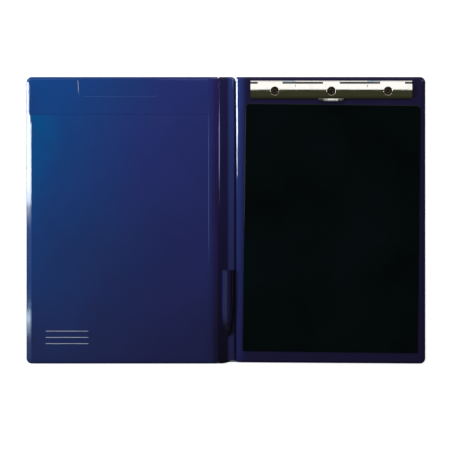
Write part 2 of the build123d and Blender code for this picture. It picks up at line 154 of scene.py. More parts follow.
def soft_ramp(t, start, end, rounding):
    """0 before start and 1 after end, with a straight ramp between and rounded ends."""

    def corner(u):
        rounded = (u + rounding) ** 2 / (4 * rounding)
        return np.where(u < -rounding, 0, np.where(u > rounding, u, rounded))

    return (corner(t - start) - corner(t - end)) / (end - start)


def bell(t, centre, width):
    """A smooth hump of height 1."""
    return np.exp(-(((t - centre) / width) ** 2))


def steep_run(y):
    """Where the back lining's steep run begins, and its width and rise."""
    steeper, wider = soft_ramp(y, *gets_steeper), soft_ramp(y, *gets_wider)
    waver = np.sin(y / long_waver) * np.sin(y / short_waver) * steeper
    start = right_crease[0] + steep_offset - nearer_by * soft_ramp(y, *gets_nearer)
    width = steep_width + wider_by * wider + width_waver * waver
    slope = steep_slope + steeper_by * steeper + slope_waver * waver * (1 - wider)
    return start, width, width * slope


def across(x, y):
    """Height of the lining across the covers, away from the upper and lower edges."""
    dip = top_z - crease_z
    bulge = bulge_rise * (1 - soft_ramp(y, *bulge_fades) + soft_ramp(y, *bulge_returns))
    along_pocket = soft_ramp(y, *ridge_begins) - soft_ramp(y, *ridge_ends)
    rounding = step_rounding + step_rounder_by * bell(y, step_rounder_at, step_rounder_reach)
    start, width, rise = steep_run(y)
    end = start + width
    z = top_z + ridge_rise * along_pocket * bell(x, ridge_x, ridge_width)
    z = z - dip * soft_ramp(x, *front_slope)
    z = z + dip * soft_ramp(x, *spine_step, rounding)
    z = z + bulge * soft_ramp(x, *bulge_begins)
    z = z - (dip + bulge) * soft_ramp(x, *bulge_ends)
    z = z + rise * soft_ramp(x, start, end, steep_rounding)
    return z + (dip - rise) * soft_ramp(x, end, end + gentle_width, gentle_rounding)


def edge_share(x, y, high_y):
    """0 on the welded rim and 1 where the foil lies on the board."""
    beside_strip = soft_ramp(y, *strip_begins)
    share = soft_ramp(x - x_left, *left_rise)
    share = np.maximum(share, beside_strip * soft_ramp(x - x_left, *left_rise_by_strip))
    share = np.minimum(share, soft_ramp(x_right - x, *right_rise))
    share = np.minimum(share, soft_ramp(high_y - y, *head_rise))
    return np.minimum(share, soft_ramp(y - y_bottom, *foot_rise))


def lining_height(x, y, high_y):
    """Height of the lining's upper face, on a panel whose head lies at high_y."""
    return rim_top + (across(x, y) - rim_top) * edge_share(x, y, high_y)


def outer_height(x, y, high_y):
    """Height of the outer foil's lower face: the lining without its bulge, mirrored in the seam."""
    flat = np.minimum(across(x, y), top_z)
    return 2 * seam_z - (rim_top + (flat - rim_top) * edge_share(x, y, high_y))


def drawn_up(x, y):
    """How far a point is drawn up with the lower edge."""
    pull = spine_pull * bell(x, spine_pull_at, spine_pull_reach)
    over_back = soft_ramp(x, *back_pull_begins) * (1 - soft_ramp(x, *back_pull_ends))
    return (pull + back_pull * over_back) * (1 - soft_ramp(y, *pull_fades))


def graded(start, end, fine, coarse, growth=1.3):
    """Places from start to end, close together at both ends and coarse between them."""
    steps, total, step = [], 0.0, fine
    while step < coarse and total + step < (end - start) / 2:
        steps.append(step)
        total += step
        step *= growth
    middle = end - start - 2 * total
    count = max(1, round(middle / coarse))
    widths = steps + [middle / count] * count + steps[::-1]
    return start + np.concatenate([[0], np.cumsum(widths)])


def round_corners(x, y, left, right, low, high, radii):
    """Move the points of a rectangular grid so that its corners become round.

    radii are those of the lower left, lower right, upper left and upper right corner.
    """
    least_reach = 1e-6
    x, y = x.copy(), y.copy()
    corners = [(left, low, 1, 1), (right, low, -1, 1), (left, high, 1, -1), (right, high, -1, -1)]
    for (corner_x, corner_y, sign_x, sign_y), radius in zip(corners, radii):
        dx, dy = (x - corner_x) * sign_x, (y - corner_y) * sign_y
        inset = np.minimum(dx, dy)
        reach = radius - inset
        along = np.maximum(dx, dy) - inset
        inside = (reach > least_reach) & (along < reach)
        reach = np.where(inside, reach, 1)
        angle = (1 - along / reach) * math.pi / 4
        short = inset + reach * (1 - np.cos(angle))
        long = inset + reach * (1 - np.sin(angle))
        x = np.where(inside, corner_x + sign_x * np.where(dx < dy, short, long), x)
        y = np.where(inside, corner_y + sign_y * np.where(dx < dy, long, short), y)
    return x, y


def new_object(name, points, faces, material, crease_angle=35):
    """Make a smooth-shaded mesh object from points in millimetres."""
    mesh = bpy.data.meshes.new(name)
    mesh.from_pydata([tuple(p) for p in np.asarray(points) * MM], [], faces)
    mesh.validate()
    mesh.polygons.foreach_set("use_smooth", [True] * len(mesh.polygons))
    mesh.set_sharp_from_angle(angle=math.radians(crease_angle))
    mesh.update()
    made = bpy.data.objects.new(name, mesh)
    bpy.context.scene.collection.objects.link(made)
    made.data.materials.append(material)
    return made


def shell(name, x, y, upper, lower, material):
    """A closed sheet over a grid, between the heights of its upper and its lower face."""
    return closed_sheet(name, np.stack([x, y, upper], -1), np.stack([x, y, lower], -1), material)


def closed_sheet(name, upper, lower, material, crease_angle=35):
    """A closed sheet between two grids of points of the same shape, (rows, columns, 3)."""
    rows, columns = upper.shape[:2]
    count = rows * columns
    points = np.concatenate([upper.reshape(-1, 3), lower.reshape(-1, 3)])
    faces = []
    for r in range(rows - 1):
        for c in range(columns - 1):
            a = r * columns + c
            quad = (a, a + 1, a + columns + 1, a + columns)
            faces.append(quad)
            faces.append(tuple(count + i for i in reversed(quad)))
    rim = [(0, c) for c in range(columns)] + [(r, columns - 1) for r in range(1, rows)]
    rim += [(rows - 1, c) for c in range(columns - 2, -1, -1)]
    rim += [(r, 0) for r in range(rows - 2, 0, -1)]
    rim = [r * columns + c for r, c in rim]
    for a, b in zip(rim, rim[1:] + rim[:1]):
        faces.append((b, a, a + count, b + count))
    return new_object(name, points, faces, material, crease_angle)


def stacked(name, rings, material, crease_angle=35):
    """A closed solid of rings of points, each of the same length, from its foot to its top."""
    size = len(rings[0])
    points = np.concatenate(rings)
    faces = [tuple(range(size - 1, -1, -1))]
    for k in range(len(rings) - 1):
        for i in range(size):
            j = (i + 1) % size
            a = k * size
            faces.append((a + i, a + j, a + size + j, a + size + i))
    faces.append(tuple((len(rings) - 1) * size + i for i in range(size)))
    return new_object(name, points, faces, material, crease_angle)


class Tree:
    """Builds a node tree with short calls. Inputs are plain values or other nodes' outputs."""

    def __init__(self, tree):
        self.tree = tree

    def link(self, output, target):
        """Join an output to an input."""
        self.tree.links.new(output, target)

    def fill(self, node, inputs):
        """Set a node's inputs, which are given by name or number."""
        for key, value in inputs.items():
            if isinstance(value, bpy.types.NodeSocket):
                self.link(value, node.inputs[key])
            else:
                node.inputs[key].default_value = value
        return node

    def add(self, kind, inputs):
        """Add a node with its inputs."""
        return self.fill(self.tree.nodes.new("ShaderNode" + kind), inputs)

    def map_range(self, value, low, high, to_low=0.0, to_high=1.0, smooth=True):
        """Turn a value between low and high into one between to_low and to_high."""
        node = self.tree.nodes.new("ShaderNodeMapRange")
        node.interpolation_type = "SMOOTHSTEP" if smooth else "LINEAR"
        limits = {"From Min": low, "From Max": high, "To Min": to_low, "To Max": to_high}
        return self.fill(node, {"Value": value, **limits}).outputs["Result"]

    def math(self, operation, a, b):
        """A sum on two values."""
        node = self.tree.nodes.new("ShaderNodeMath")
        node.operation = operation
        return self.fill(node, {0: a, 1: b}).outputs[0]

    def times(self, a, b):
        """The product of two values."""
        return self.math("MULTIPLY", a, b)

    def mix(self, share, a, b):
        """Mix two colours, each a colour or another node's output."""
        node = self.tree.nodes.new("ShaderNodeMix")
        node.data_type = "RGBA"
        a, b = ((*colour, 1) if isinstance(colour, tuple) else colour for colour in (a, b))
        # The node's colour sockets go by number, as its other types use the same names
        first_colour, second_colour, mixed_colour = 6, 7, 2
        inputs = {"Factor": share, first_colour: a, second_colour: b}
        return self.fill(node, inputs).outputs[mixed_colour]


class Nodes(Tree):
    """The node tree of a new material on the Principled shader."""

    def __init__(self, name):
        self.material = bpy.data.materials.new(name)
        self.material.use_nodes = True
        super().__init__(self.material.node_tree)
        self.shader = self.tree.nodes["Principled BSDF"]
        self.place = self.tree.nodes.new("ShaderNodeTexCoord").outputs["Object"]

    def axis(self, direction):
        """How far a point lies along a direction, in metres."""
        node = self.tree.nodes.new("ShaderNodeVectorMath")
        node.operation = "DOT_PRODUCT"
        return self.fill(node, {0: self.place, 1: direction}).outputs["Value"]

    def right(self):
        """How far a point lies to the right."""
        return self.axis((1, 0, 0))

    def up(self):
        """How far a point lies up the page."""
        return self.axis((0, 1, 0))

    def noise(self, scale, detail=3.0, stretch=(1, 1, 1), rough=0.5):
        """Noise over the object, with its scale in features per metre."""
        mapping = self.add("Mapping", {"Scale": stretch, "Vector": self.place})
        settings = {"Scale": scale, "Detail": detail, "Roughness": rough}
        return self.add("TexNoise", {**settings, "Vector": mapping.outputs[0]}).outputs["Fac"]

    def cloud(self, noise, low=0.3, high=0.7, to_low=0.0, to_high=1.0):
        """Noise, given by its scale and so on, spread out between two values."""
        return self.map_range(self.noise(*noise), low, high, to_low, to_high)

    def bump(self, height, strength, distance, previous=None):
        """A normal bent by a height, on top of a previous one."""
        inputs = {"Strength": strength, "Distance": distance, "Height": height}
        if previous is not None:
            inputs["Normal"] = previous
        return self.add("Bump", inputs).outputs["Normal"]

    def finish(self, colour, roughness, normal):
        """Join the colour, roughness and normal to the shader."""
        self.fill(self.shader, {"Base Color": colour, "Roughness": roughness, "Normal": normal})
        return self.material


def foil_finish(nodes, colour, dullness=0.06):
    """Glossy soft foil: cloudy gloss, faint ripples and a fine grain."""
    mottle_tone, refraction = (0.014, 0.012, 0.05), 1.53
    mottle = nodes.cloud((55, 4), 0.35, 0.7, to_high=0.16)
    mottled = nodes.mix(mottle, colour, nodes.mix(mottle, colour, mottle_tone))
    roughness = nodes.cloud((30, 5, (1, 0.5, 1), 0.6), 0.35, 0.7, dullness, dullness * 2)
    ripple = nodes.bump(nodes.noise(45, 2), strength=0.03, distance=0.002)
    grain = nodes.bump(nodes.noise(2600, 2), strength=0.05, distance=0.0001, previous=ripple)
    nodes.shader.inputs["IOR"].default_value = refraction
    return nodes.finish(mottled, roughness, grain)


def drifting_places(nodes, drift=0.022):
    """How far a point lies to the right and up the page, with cloudy drift."""
    cloud = nodes.cloud((10, 3, (1, 0.8, 1)), to_low=-drift, to_high=drift)
    right = nodes.math("ADD", nodes.right(), cloud)
    up = nodes.math("ADD", nodes.up(), nodes.times(cloud, 2.0))
    return right, up


def downward(nodes, up):
    """0 at the head of the page and 1 at its foot."""
    half_page = 0.17
    return nodes.map_range(up, half_page, -half_page, smooth=False)


def band(nodes, value, start, end, soft, strength=1.0):
    """A share that is full between two places and fades out beyond them."""
    rise = nodes.map_range(value, start - soft, start + soft, to_high=strength)
    fall = nodes.map_range(value, end - soft, end + soft, to_low=1, to_high=0)
    return nodes.times(rise, fall)


def cover_material():
    """Front foil: blue at the upper left, purple to the right and darker downward, which is painted
    light and shade from the lamp on the left.

    Below the header strip's left end a bluer patch is a painted reflection, beside the spine the
    slope has painted shade, and along the pocket's right weld a pale line is a painted highlight.
    """
    # Painted light and shade: blue at the upper left where the lamp on the left reflects, purple
    # and darker to the right and downward
    head_blue, head_purple = (0.0075, 0.068, 0.27), (0.025, 0.036, 0.195)
    foot_blue, foot_purple = (0.0190, 0.0280, 0.108), (0.0185, 0.0205, 0.092)
    head_shade, foot_shade = (0.0255, 0.0155, 0.112), (0.0105, 0.0070, 0.027)
    painted_reflection_blue, painted_highlight_blue = (0.0015, 0.090, 0.285), (0.11, 0.15, 0.46)
    nodes = Nodes("foil_cover")
    right, up = drifting_places(nodes)
    down = downward(nodes, up)
    to_purple = nodes.map_range(right, low=-0.22, high=-0.05)
    head = nodes.mix(to_purple, head_blue, head_purple)
    foot = nodes.mix(to_purple, foot_blue, foot_purple)
    base = nodes.mix(down, head, foot)
    # A painted reflection: a bluer patch below the header strip's left end
    strip_edge = strip_low.y * MM
    below_strip = nodes.map_range(nodes.up(), strip_edge - MM, strip_edge, to_low=1, to_high=0)
    upper_part = nodes.map_range(up, low=0.045, high=0.095, to_high=0.85)
    left_part = nodes.map_range(right, low=-0.232, high=-0.188, to_low=1, to_high=0)
    patch = nodes.times(nodes.times(left_part, upper_part), below_strip)
    base = nodes.mix(patch, base, painted_reflection_blue)
    # Painted shade on the lining's slope down to the left crease
    slope = band(nodes, nodes.right(), start=-0.0155, end=0.01, soft=0.0045, strength=0.9)
    shade = nodes.mix(down, head_shade, foot_shade)
    # A painted highlight along the pocket's right weld, fading down the page
    weld_x = ridge_x * MM
    weld = band(nodes, nodes.right(), weld_x - 0.0003, weld_x + 0.0004, soft=0.0002)
    along = band(nodes, nodes.up(), start=-0.035, end=0.121, soft=0.03, strength=0.8)
    tone = nodes.mix(nodes.times(weld, along), nodes.mix(slope, base, shade), painted_highlight_blue)
    return foil_finish(nodes, tone)


def spine_material():
    """Spine foil: dark purple with painted shade on its floor, a bluer painted sheen on its bulge,
    and painted shade downward.

    Beside the pen sleeve the bulge keeps the floor's painted shade. The left crease's edge has a
    pale painted highlight and is duller, and the bulge has a painted highlight at the head.
    """
    # Painted shade on the floor and a painted sheen on the bulge, both with painted shade downward
    head_floor, foot_floor = (0.0155, 0.0120, 0.070), (0.0045, 0.0030, 0.013)
    head_bulge, foot_bulge = (0.0265, 0.0410, 0.180), (0.0190, 0.0180, 0.076)
    painted_highlight_blue, painted_head_highlight_blue = (0.27, 0.26, 0.56), (0.08, 0.22, 0.50)
    full_gloss = 0.5
    nodes = Nodes("foil_spine")
    right, up = nodes.right(), nodes.up()
    down = downward(nodes, up)
    # Beside the pen sleeve the bulge's painted sheen is taken off, leaving the floor's painted
    # shade
    beside_sleeve = band(nodes, up, start=-0.137, end=-0.061, soft=0.004, strength=0.8)
    bulge = band(nodes, right, start=0.0028, end=0.0103, soft=0.0014)
    bulge = nodes.times(bulge, nodes.math("SUBTRACT", 1.0, beside_sleeve))
    floor_tone = nodes.mix(down, head_floor, foot_floor)
    tone = nodes.mix(bulge, floor_tone, nodes.mix(down, head_bulge, foot_bulge))
    dull = band(nodes, right, start=-0.0086, end=-0.0070, soft=0.0002, strength=0.3)
    gloss = nodes.math("SUBTRACT", full_gloss, dull)
    nodes.link(gloss, nodes.shader.inputs["Specular IOR Level"])
    # A painted highlight on the left crease's edge, strongest part way up the page
    crease_highlight = band(nodes, right, start=-0.0084, end=-0.0074, soft=0.0002)
    crease_highlight = nodes.times(crease_highlight, band(nodes, up, start=0.055, end=0.125, soft=0.025))
    tone = nodes.mix(crease_highlight, tone, painted_highlight_blue)
    # A painted highlight on the bulge at the head
    painted_head_highlight = band(nodes, right, start=0.0076, end=0.0086, soft=0.0005)
    painted_head_highlight = nodes.times(painted_head_highlight, nodes.map_range(up, low=0.155, high=0.166, to_high=0.7))
    return foil_finish(nodes, nodes.mix(painted_head_highlight, tone, painted_head_highlight_blue))


def back_material():
    """Back foil: dark purple, with a bluer strip beside the fold that is a painted reflection, and
    painted shade downward.
    """
    # Painted reflection beside the fold and painted shade downward
    head_strip, foot_strip = (0.0270, 0.0520, 0.230), (0.0190, 0.0185, 0.100)
    head_body, foot_body = (0.0155, 0.0115, 0.055), (0.0140, 0.0100, 0.050)
    nodes = Nodes("foil_back")
    down = downward(nodes, nodes.up())
    beside = nodes.map_range(nodes.right(), low=0.0150, high=0.0260, to_low=1, to_high=0)
    body = nodes.mix(down, head_body, foot_body)
    return foil_finish(nodes, nodes.mix(beside, body, nodes.mix(down, head_strip, foot_strip)))


def outside_material():
    """Foil of the outer side, whose tone drifts slowly between two blues."""
    light, dark = (0.022, 0.040, 0.15), (0.020, 0.022, 0.09)
    nodes = Nodes("foil_outside")
    return foil_finish(nodes, nodes.mix(nodes.cloud((9, 3)), light, dark), dullness=0.1)


def sleeve_material():
    """Sleeve foil: blue on the left flank as painted light, painted shade on the right and at the
    tip, and a pale painted highlight at the mouth.
    """
    # Painted light on the left flank, painted shade on the right side and the tip, painted
    # highlight at the mouth
    dark, body_blue = (0.0055, 0.0045, 0.013), (0.0125, 0.0100, 0.052)
    lit_flank_blue, mouth_highlight_blue = (0.026, 0.030, 0.135), (0.05, 0.06, 0.20)
    nodes = Nodes("foil_sleeve")
    right, up = nodes.right(), nodes.up()
    above_tip = nodes.map_range(up, low=-0.130, high=-0.112)
    body = nodes.map_range(right, low=0.0035, high=0.0065, to_low=1, to_high=0)
    flank = band(nodes, right, start=-0.0038, end=-0.0012, soft=0.0012)
    tone = nodes.mix(nodes.times(body, above_tip), dark, body_blue)
    tone = nodes.mix(nodes.times(flank, above_tip), tone, lit_flank_blue)
    mouth = nodes.map_range(up, low=-0.0600, high=-0.0592, to_high=0.5)
    return foil_finish(nodes, nodes.mix(mouth, tone, mouth_highlight_blue), dullness=0.09)


def plate_material():
    """Satin black plate with faint hand marks."""
    dark, light = (0.0012, 0.0028, 0.0032), (0.0022, 0.0058, 0.0066)
    refraction, gloss = 1.4, 0.25
    nodes = Nodes("plate_black")
    colour = nodes.mix(nodes.cloud((9, 4), 0.3, 0.75), dark, light)
    roughness = nodes.cloud((22, 5, (1, 0.6, 1)), to_low=0.06, to_high=0.1)
    grain = nodes.bump(nodes.noise(3800, 2), strength=0.03, distance=0.0001)
    nodes.fill(nodes.shader, {"IOR": refraction, "Specular IOR Level": gloss})
    return nodes.finish(colour, roughness, grain)


def metal_material(name, colour, stain, roughness, drawn=False, dents_and_glints=False, covered=False):
    """Plated steel with fine marks, which run along the clamp on drawn steel.

    A dented bar has dents on its lip, which is painted dark with uneven painted glints, and a
    covered base has a painted shadow where the bar hides it.
    """
    lip_painted_shade, lip_painted_glint = (0.025, 0.025, 0.022), (0.85, 0.85, 0.80)
    painted_shadow_tone = (0.085, 0.068, 0.042)
    nodes = Nodes(name)
    tone = nodes.mix(nodes.cloud((90, 5), 0.45, 0.75, to_high=0.6), colour, stain)
    rough = nodes.cloud((150, 4), to_low=roughness * 0.7, to_high=roughness * 1.5)
    grain = nodes.noise(2400, 2, (0.02, 1, 1) if drawn else (1, 1, 1))
    marks = nodes.bump(grain, strength=0.05, distance=0.0001)
    if dents_and_glints:
        # The lip is painted dark as painted shade, with uneven painted glints
        lip = nodes.map_range(nodes.up(), low=0.1462, high=0.1454)
        glint = nodes.cloud((300, 1, (1, 0.3, 0.3)), 0.38, 0.54, to_low=0.03, to_high=0.7)
        middle = band(nodes, nodes.right(), start=0.1197, end=0.1353, soft=0.0052)
        shade = nodes.mix(nodes.times(glint, middle), lip_painted_shade, lip_painted_glint)
        tone = nodes.mix(lip, tone, shade)
        dents = nodes.times(nodes.noise(220, 1), lip)
        marks = nodes.bump(dents, strength=0.4, distance=0.0006, previous=marks)
    if covered:
        # Painted shadow on the base where the bar hides it
        hidden = nodes.map_range(nodes.up(), low=0.1635, high=0.1625)
        tone = nodes.mix(hidden, tone, painted_shadow_tone)
    nodes.shader.inputs["Metallic"].default_value = 1.0
    return nodes.finish(tone, rough, marks)


def matt_material(name, dark, light, noise, high, rough_scale, rough_limits, strength, distance):
    """A dull material whose colour, roughness and height all follow noise."""
    nodes = Nodes(name)
    cloud = nodes.cloud(noise, high=high)
    rough = nodes.cloud((rough_scale, 3), to_low=rough_limits[0], to_high=rough_limits[1])
    return nodes.finish(nodes.mix(cloud, dark, light), rough, nodes.bump(cloud, strength, distance))


cover_blue = cover_material()
spine_blue = spine_material()
back_blue = back_material()
outer_blue = outside_material()
sleeve_blue = sleeve_material()
plate_black = plate_material()

# Metals, each with its colour, its stains' colour and its roughness
clamp_steel = metal_material(
    "clamp_plating", (0.745, 0.725, 0.70), (0.64, 0.62, 0.57), 0.07, drawn=True, dents_and_glints=True
)
base_zinc = metal_material(
    "base_zinc", (0.44, 0.49, 0.55), (0.30, 0.33, 0.37), 0.28, drawn=True, covered=True
)
# The rivets, the hinge rod and the springs are dark as painted shade, for the shade in the bar's
# holes and slots
rivet_steel = metal_material("rivet_plating", (0.095, 0.075, 0.045), (0.040, 0.030, 0.018), 0.3)
rim_steel = metal_material("rim_plating", (0.85, 0.82, 0.70), (0.60, 0.57, 0.46), 0.2)
rod_steel = metal_material("rod_steel", (0.34, 0.33, 0.27), (0.22, 0.21, 0.17), 0.2)
spring_steel = metal_material("spring_wire", (0.13, 0.12, 0.10), (0.07, 0.065, 0.05), 0.25)

# Pressed board with paper fibres, cloudy double-sided tape, and white screen-printed ink
grey_board = matt_material(
    "grey_board",
    dark=(0.22, 0.21, 0.19),
    light=(0.36, 0.35, 0.32),
    noise=(900, 6, (1, 0.3, 1)),
    high=0.7,
    rough_scale=300,
    rough_limits=(0.75, 0.95),
    strength=0.3,
    distance=0.0002,
)
tape_white = matt_material(
    "plate_tape_white",
    dark=(0.62, 0.61, 0.55),
    light=(0.74, 0.73, 0.68),
    noise=(200, 3),
    high=0.7,
    rough_scale=120,
    rough_limits=(0.4, 0.6),
    strength=0.1,
    distance=0.0001,
)
white_ink = matt_material(
    "white_ink",
    dark=(0.62, 0.64, 0.70),
    light=(0.80, 0.81, 0.84),
    noise=(700, 4),
    high=0.75,
    rough_scale=400,
    rough_limits=(0.35, 0.5),
    strength=0.1,
    distance=0.00005,
)


# Covers and spine. Rows of points run across the page, close together near its edges.
edge_zone, edge_row_count = 3, 21
edge_rows = np.linspace(0, edge_zone, edge_row_count)
inner_rows = graded(y_bottom + edge_zone, y_top - edge_zone, fine=0.2, coarse=2.6)
row_places = np.concatenate([y_bottom + edge_rows[:-1], inner_rows, y_top - edge_rows[-2::-1]])


def cut_holes(piece, centres, radius, low, high):
    """Cut round holes through a piece, upright, between two heights."""
    sides = 48
    points, faces = [], []
    for centre_x, centre_y in centres:
        first = len(points)
        for height in (low, high):
            for k in range(sides):
                angle = 2 * math.pi * k / sides
                out_x, out_y = radius * math.cos(angle), radius * math.sin(angle)
                points.append((centre_x + out_x, centre_y + out_y, height))
        faces.append(tuple(first + k for k in range(sides - 1, -1, -1)))
        faces.append(tuple(first + sides + k for k in range(sides)))
        for k in range(sides):
            j = (k + 1) % sides
            faces.append((first + k, first + j, first + sides + j, first + sides + k))
    cutter = new_object("hole_cutter", points, faces, piece.data.materials[0])
    cut = piece.modifiers.new("holes", "BOOLEAN")
    cut.operation = "DIFFERENCE"
    cut.solver = "EXACT"
    cut.object = cutter
    evaluated = piece.evaluated_get(bpy.context.evaluated_depsgraph_get())
    result = bpy.data.meshes.new_from_object(evaluated)
    piece.modifiers.clear()
    piece.data = result
    cutter_mesh = cutter.data
    bpy.data.objects.remove(cutter, do_unlink=True)
    bpy.data.meshes.remove(cutter_mesh)


def rivet_places():
    """Centres of the three rivets."""
    low, high = box_mm("clamp_rivets")
    reach = (high.y - low.y) / 2
    middle_y = (low.y + high.y) / 2
    return [(x, middle_y) for x in (low.x + reach, (low.x + high.x) / 2, high.x - reach)]


def washer_holes(piece):
    """Open the back's outer foil at the rivets' washers."""
    washer_play, below, past_seam = 0.15, -2, 0.02
    low, high = box_mm("rivet_washers")
    cut_holes(piece, rivet_places(), (high.y - low.y) / 2 + washer_play, below, seam_z + past_seam)


def panel_grid(columns, radii, high_y):
    """A grid over one panel, before and after its corners are rounded and its foot drawn up."""
    rows = y_bottom + (row_places - y_bottom) * (high_y - y_bottom) / (y_top - y_bottom)
    flat_x, flat_y = np.meshgrid(columns, rows)
    x, y = round_corners(flat_x, flat_y, columns[0], columns[-1], y_bottom, high_y, radii)
    return flat_x, flat_y, x, y + drawn_up(x, flat_y)


def panel(name, columns, radii, body, part, material, replaced, high_y=y_top):
    """One foil of a panel, or both foils welded to the strip of a fold, as a closed sheet.

    part is lining, outside or both. body is one body, or the two that a fold's strip lies between.
    """
    flat_x, flat_y, x, y = panel_grid(columns, radii, high_y)
    upper = lining_height(flat_x, flat_y, high_y)
    lower = outer_height(flat_x, flat_y, high_y)
    if part == "lining":
        lower = np.maximum(upper - foil, seam_z)
    elif part == "outside":
        upper = np.minimum(lower + foil, seam_z)
    made = shell(name, x, y, upper, lower, material)
    if name == "back_outside":
        washer_holes(made)
    if isinstance(body, str):
        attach(made, body)
    else:
        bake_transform(made)
    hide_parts(*replaced)


left_rim_zone, left_rim_columns = 6, 46
ridge_zone, ridge_columns = 1.5, 25
crease_columns = 9
ridge_start, ridge_end = ridge_x - ridge_zone, ridge_x + ridge_zone
front_columns = np.concatenate(
    [
        np.linspace(x_left, x_left + left_rim_zone, left_rim_columns)[:-1],
        graded(x_left + left_rim_zone, ridge_start, fine=0.15, coarse=3.0)[:-1],
        np.linspace(ridge_start, ridge_end, ridge_columns)[:-1],
        graded(ridge_end, left_crease[0], fine=0.25, coarse=0.9),
    ]
)
spine_columns = graded(left_crease[1], right_crease[0], fine=0.07, coarse=0.4, growth=1.12)
back_columns = graded(right_crease[1], x_right, fine=0.1, coarse=3.0, growth=1.15)
front_radii = (outer_corner, fold_corner, outer_corner, fold_corner)
spine_radii = (fold_corner, fold_corner, fold_corner, right_notch_corner)
back_radii = (fold_corner, outer_corner, fold_corner, outer_corner)

for part, node in (("lining", "inner_foil"), ("outside", "outer_foil")):
    covers = (cover_blue, spine_blue, back_blue) if part == "lining" else (outer_blue,) * 3
    panel(f"front_{part}", front_columns, front_radii, "front", part, covers[0], [f"front_{node}"])
    panel(f"spine_{part}", spine_columns, spine_radii, "spine", part, covers[1], [f"spine_{node}"])
    panel(f"back_{part}", back_columns, back_radii, "back", part, covers[2], [f"back_{node}"])


def spine_core():
    """The spine's board, cut to the drawn-in lower edge."""
    column_count = 12
    low, high = box_mm("spine_board")
    rows = graded(low.y, high.y, fine=0.5, coarse=4.0)
    x, flat_y = np.meshgrid(np.linspace(low.x, high.x, column_count), rows)
    y = flat_y + drawn_up(x, flat_y)
    made = shell("spine_core", x, y, np.full_like(y, high.z), np.full_like(y, low.z), grey_board)
    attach(made, "spine")
    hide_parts("spine_board")


spine_core()

for side, crease, bodies, depth in (
    ("left", left_crease, ("front", "spine"), left_notch_depth),
    ("right", right_crease, ("spine", "back"), right_notch_depth),
):
    panel(
        f"{side}_crease",
        np.linspace(*crease, crease_columns),
        (crease_corner,) * 4,
        bodies,
        "both",
        spine_blue,
        [f"{side}_hinge_film"],
        y_top - depth,
    )


# Document pocket: a thin sheet welded at its sides and foot. Its weld is a low step, its mouth
# lies lower than the rest, and its middle swells in shallow waves, each with a length and a phase.
pocket_lift = 0.05
pocket_rise = 0.45
left_weld_share = 0.75
left_weld_ramp = (0, 1.3, 0.1)
weld_ramp = (0, 0.5, 0.1)
mouth_share = 0.4
mouth_ramp = (0, 12, 3)
swell_rise = 0.22
swell_from_weld, swell_from_mouth = (2.5, 10, 1.5), (0, 25, 5)
wave_rise, wave_across, wave_along = 0.06, (31, 0.6), (47, 1.1)
pocket_foot_corner, pocket_head_corner = 2.5, 0.8


def pocket_height(x, y):
    """Height of the pocket sheet's upper face."""
    from_left, from_right = x - pocket_low.x, pocket_high.x - x
    from_foot, from_head = y - pocket_low.y, pocket_high.y - y
    rise = left_weld_share * soft_ramp(from_left, *left_weld_ramp)
    rise = np.minimum(rise, soft_ramp(from_right, *weld_ramp))
    rise = np.minimum(rise, soft_ramp(from_foot, *weld_ramp))
    past_mouth = mouth_share + (1 - mouth_share) * soft_ramp(from_head, *mouth_ramp)
    from_weld = np.minimum(np.minimum(from_left, from_right), from_foot)
    swell = soft_ramp(from_weld, *swell_from_weld) * soft_ramp(from_head, *swell_from_mouth)
    wave = np.sin(x / wave_across[0] + wave_across[1]) * np.sin(y / wave_along[0] + wave_along[1])
    rest = top_z + pocket_lift + pocket_rise * rise * past_mouth
    return rest + swell * (swell_rise + wave_rise * wave)


def pocket():
    """The pocket's sheet, from the front's lining to its own upper face."""
    columns = graded(pocket_low.x, pocket_high.x, fine=0.1, coarse=4.0, growth=1.12)
    rows = graded(pocket_low.y, pocket_high.y, fine=0.12, coarse=4.0, growth=1.2)
    flat_x, flat_y = np.meshgrid(columns, rows)
    corners = (pocket_low.x, pocket_high.x, pocket_low.y, pocket_high.y)
    radii = (pocket_foot_corner,) * 2 + (pocket_head_corner,) * 2
    x, y = round_corners(flat_x, flat_y, *corners, radii)
    upper = pocket_height(flat_x, flat_y)
    made = shell("pocket_sheet", x, y, upper, np.full_like(upper, top_z), cover_blue)
    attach(made, "front")
    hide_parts("document_pocket")


pocket()


def write_on_lines():
    """Three printed lines at the pocket's foot, for a name."""
    left, right, first_y, step, half_width = -216.0, -165.0, -133.0, 7.5, 0.25
    above, below, columns = 0.03, 0.02, 14
    for index in range(3):
        middle = first_y - index * step
        rows = np.array([middle - half_width, middle + half_width])
        x, y = np.meshgrid(np.linspace(left, right, columns), rows)
        z = pocket_height(x, y)
        made = shell(f"name_line_{index + 1}", x, y, z + above, z - below, white_ink)
        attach(made, "front")


write_on_lines()


def arc(centre, radius, start, end, count=9):
    """Points on an arc between two angles in degrees."""
    angles = np.radians(np.linspace(start, end, count))
    return [(centre[0] + radius * math.cos(a), centre[1] + radius * math.sin(a)) for a in angles]


# Header strip: a sheet across the head of the front, with a wide thumb notch
notch_left, notch_right = -176.4, -79.8
notch_low = strip_high.y - 20.5
notch_radius = 7.2
notch_lip = 0.8
strip_corner = 2.2


